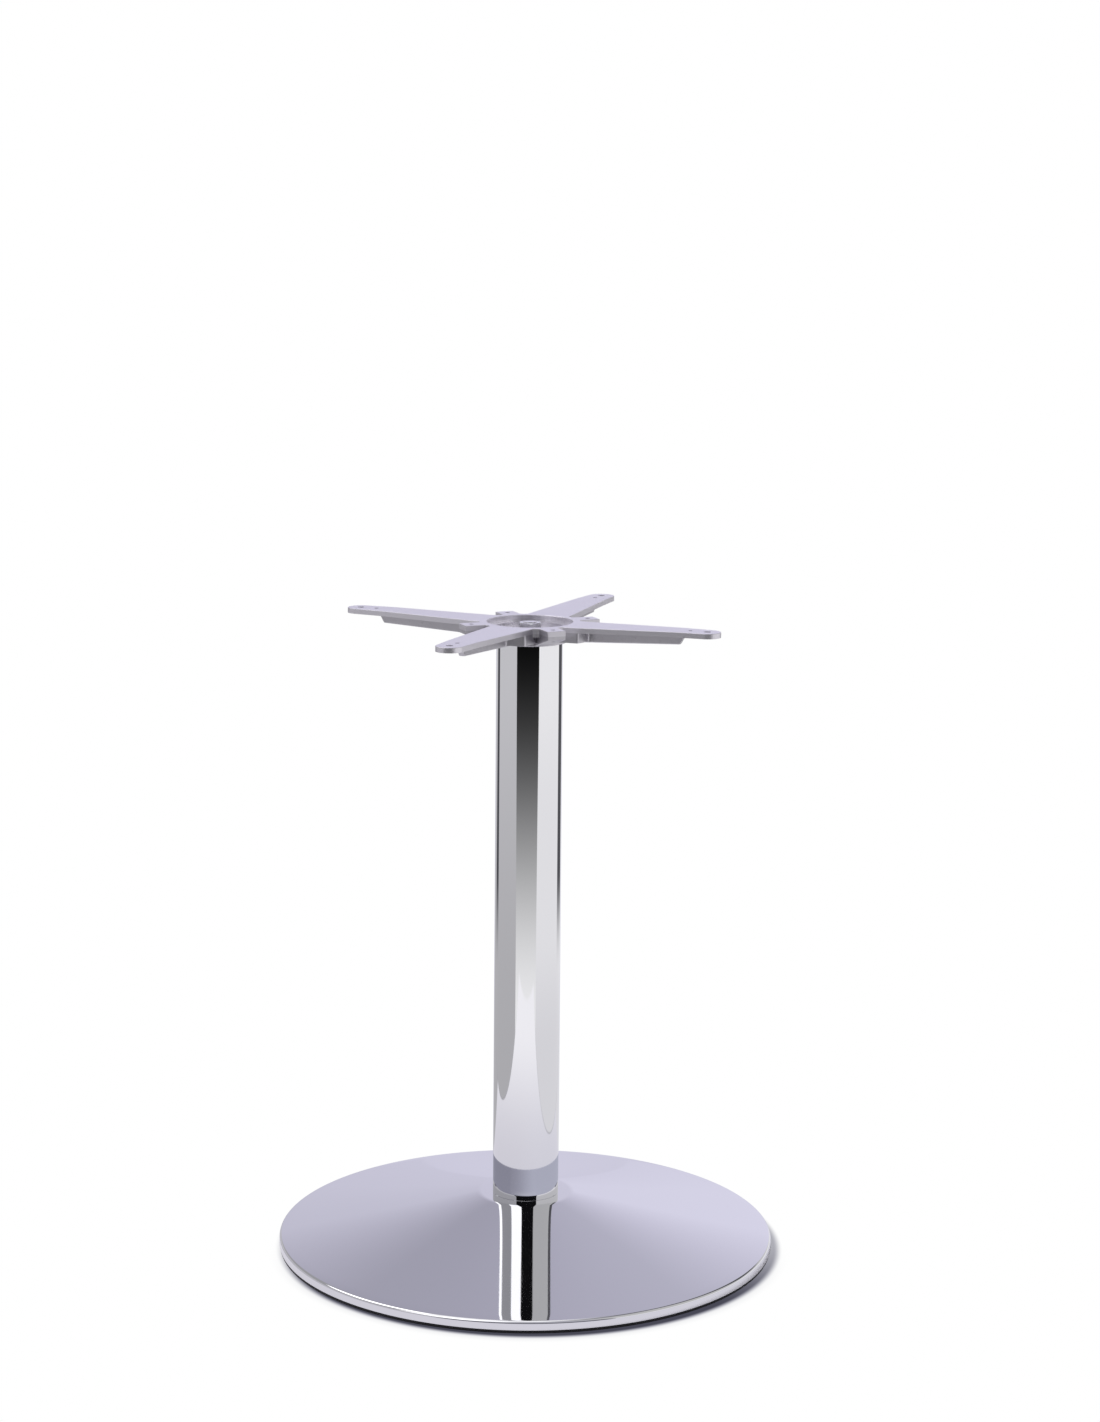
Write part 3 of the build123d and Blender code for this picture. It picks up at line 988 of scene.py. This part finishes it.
def mirrored_floor_tone(tree, place, reach, facing, side):
    """Painted reflection for the chrome: a white sheet with darker edges on a bare floor."""
    own = studio()
    toward, right = camera_frame()
    across, out = along(tree, place, right), along(tree, place, toward)
    edge, edge_strength, rear_reach = 0.002, 0.6, 0.3
    on_sheet = times(tree, inside(tree, across, -own.sheet_left, own.sheet_right, edge),
                     inside(tree, out, -rear_reach, own.sheet_front))
    near_tone = blended(tree, between(tree, side, -0.9, 0.9), *SHEET_NEAR)
    sheet_tone = blended(tree, between(tree, reach, 0.32, 0.95), near_tone, SHEET_FAR)
    tone = blended(tree, on_sheet, bare_floor_tone(tree, reach, facing, side), sheet_tone)
    edges = plus(tree,
                 inside(tree, across, own.sheet_right - edge, own.sheet_right + 2 * edge, edge),
                 inside(tree, across, -own.sheet_left - 2 * edge, -own.sheet_left + edge, edge))
    edges = times(tree, edges, between(tree, out, own.sheet_front, own.sheet_front - 0.3))
    tone = blended(tree, times(tree, edges, edge_strength), tone, SHEET_EDGE)

    # Painted sheen: seen at a low angle, the floor near the object shines with the walls' tones
    sheen = linked(tree, "ShaderNodeFresnel", {"IOR": 1.5}).outputs[0]
    grazed = times(tree, between(tree, sheen, 0.50, 0.62, 0.0, 0.95),
                   between(tree, reach, 2.2, 1.5))
    grazed = times(tree, grazed, outside(tree, behind(tree, facing)))
    return blended(tree, grazed, tone, blended(tree, between(tree, side, -0.9, 0.6), *GRAZED))


def contact_shadow(tree, from_centre, facing, side):
    """The painted shadow round the rim: a dark core and a soft tail, darkest in front."""
    rim = high("dome_cover").x
    start, core_end, tail_end = rim - 0.001, rim + 0.0095, rim + 0.021
    left_core, right_core, front_core, front_tail = 0.75, 0.42, 0.08, 0.82
    at_sides = between(tree, side, -0.9, 0.9, left_core, right_core)
    core = between(tree, from_centre, start, core_end,
                   between(tree, facing, 0.0, 0.7, at_sides, front_core), 1.0)
    tail = between(tree, from_centre, start, tail_end,
                   between(tree, facing, 0.0, 0.7, 1.0, front_tail), 1.0)
    shade, bluer = times(tree, core, tail), 0.88
    return toned(tree, shade, shade, calc(tree, "POWER", shade, bluer))


def make_floor():
    """White with a painted shadow to the camera, the room's painted reflection to chrome, matt to
    the rest.
    """
    own = studio()
    material = bpy.data.materials.new("studio_floor")
    material.use_nodes = True
    tree = material.node_tree
    tree.nodes.remove(tree.nodes["Principled BSDF"])
    toward, right = camera_frame()
    place = put(tree, "ShaderNodeTexCoord").outputs["Object"]
    reach = linked(tree, "ShaderNodeVectorMath", {0: place}, operation="LENGTH").outputs["Value"]
    unit = linked(tree, "ShaderNodeVectorMath", {0: place}, operation="NORMALIZE").outputs[0]
    facing, side = along(tree, unit, toward), along(tree, unit, right)
    rays = put(tree, "ShaderNodeLightPath").outputs
    camera_ray, mirror_ray = rays["Is Camera Ray"], rays["Is Glossy Ray"]

    rim, moved = high("dome_cover").x, 0.004
    centre = toward * moved + right * moved
    from_centre = linked(tree, "ShaderNodeVectorMath", {0: place, 1: centre},
                         operation="DISTANCE").outputs["Value"]
    lit = blended(tree, camera_ray, WHITE, contact_shadow(tree, from_centre, facing, side))
    glow = blended(tree, mirror_ray, lit,
                   mirrored_floor_tone(tree, place, reach, facing, side))
    lift = linked(tree, "ShaderNodeEmission", {"Color": glow})
    matt = linked(tree, "ShaderNodeBsdfDiffuse", {"Color": rgba(own.floor_colour)})

    # Chrome and clear rays see the tones only clear of the rim; the hidden middle lights upward
    clear_of_rim = between(tree, from_centre, rim - 0.0005, rim + 0.0125)
    fade = larger(tree, camera_ray, times(tree, clear_of_rim,
                                          larger(tree, mirror_ray, rays["Is Transmission Ray"])))
    hidden = times(tree, between(tree, reach, rim - 0.013, rim - 0.017), own.under_glow)
    face = linked(tree, "ShaderNodeMixShader", {0: larger(tree, fade, hidden),
                                                1: matt.outputs[0], 2: lift.outputs[0]})

    # From below the camera looks through the floor
    under = times(tree, put(tree, "ShaderNodeNewGeometry").outputs["Backfacing"], camera_ray)
    clear = put(tree, "ShaderNodeBsdfTransparent")
    both = linked(tree, "ShaderNodeMixShader", {0: under, 1: face.outputs[0],
                                                2: clear.outputs[0]})
    plug(tree, tree.nodes["Material Output"].inputs["Surface"], both.outputs[0])

    count = 128
    edge = [(own.floor_radius * math.cos(math.tau * i / count),
             own.floor_radius * math.sin(math.tau * i / count), 0.0) for i in range(count)]
    mesh = bpy.data.meshes.new("floor")
    mesh.from_pydata(edge, [], [tuple(range(count))])
    mesh.materials.append(material)
    floor = new_object("floor", mesh)


def softbox_way():
    """The direction in which chrome sees the soft lamp; it places the highlight on the lip."""
    toward, right = camera_frame()
    return (Vector((0, 0, 0.786)) - toward * 0.190 - right * 0.587).normalized()


def lamp_way():
    """The direction from the object to the middle of the soft lamp."""
    toward, right = camera_frame()
    return (Vector((0, 0, 1.9)) - toward * 0.9 - right * 1.7).normalized()


def make_lamp():
    """The soft lamp's light on the floor and the dull pieces; the world has its mirror image."""
    own = studio()
    data = bpy.data.lights.new("key", "AREA")
    data.shape = "DISK"
    data.size = own.key_size
    data.energy = own.key_strength
    lamp = new_object("key", data)
    lamp.visible_glossy = False
    distance, aim = 2.7, Vector((0, 0, 0.2))
    place = aim + lamp_way() * distance
    turn = (-lamp_way()).to_track_quat("-Z", "Y").to_matrix().to_4x4()
    lamp.matrix_world = Matrix.Translation(place) @ turn


class DOMEBASE_OT_studio(bpy.types.Operator):
    """Sets the floor, the light and the camera"""
    bl_idname = "dome_base.studio"
    bl_label = "Studio"

    def execute(self, context):
        context.scene.view_settings.view_transform = "Standard"
        make_camera()
        make_world()
        make_floor()
        make_lamp()
        return {"FINISHED"}


class DOMEBASE_PT_pieces(bpy.types.Panel):
    """Lists the pieces in the order they are made"""
    bl_label = "Dome Table Base"
    bl_idname = "DOMEBASE_PT_pieces"
    bl_space_type = "VIEW_3D"
    bl_region_type = "UI"
    bl_category = "Dome Base"

    def draw(self, context):
        for piece in PIECES:
            self.layout.operator(piece.bl_idname)
        for name in GROUPS:
            box, group = self.layout.box(), getattr(context.scene, name)
            for key in group.__annotations__:
                box.prop(group, key)


PIECES = (DOMEBASE_OT_studio, DOMEBASE_OT_cover, DOMEBASE_OT_column, DOMEBASE_OT_rod,
          DOMEBASE_OT_spider, DOMEBASE_OT_base, DOMEBASE_OT_fasteners)
GROUPS = {"dome_base_sizes": DomeBaseSizes, "dome_base_finish": DomeBaseFinish,
          "dome_base_studio": DomeBaseStudio}
CLASSES = (*GROUPS.values(), *PIECES, DOMEBASE_PT_pieces)


def register():
    for kind in CLASSES:
        bpy.utils.register_class(kind)
    for name, kind in GROUPS.items():
        setattr(bpy.types.Scene, name, PointerProperty(type=kind))


def unregister():
    for name in GROUPS:
        delattr(bpy.types.Scene, name)
    for kind in reversed(CLASSES):
        bpy.utils.unregister_class(kind)


def main():
    """Makes every piece in order."""
    register()
    make = bpy.ops.dome_base
    make.studio()
    make.cover()
    make.column()
    make.rod()
    make.spider()
    make.base()
    make.fasteners()


if __name__ == "__main__":
    main()
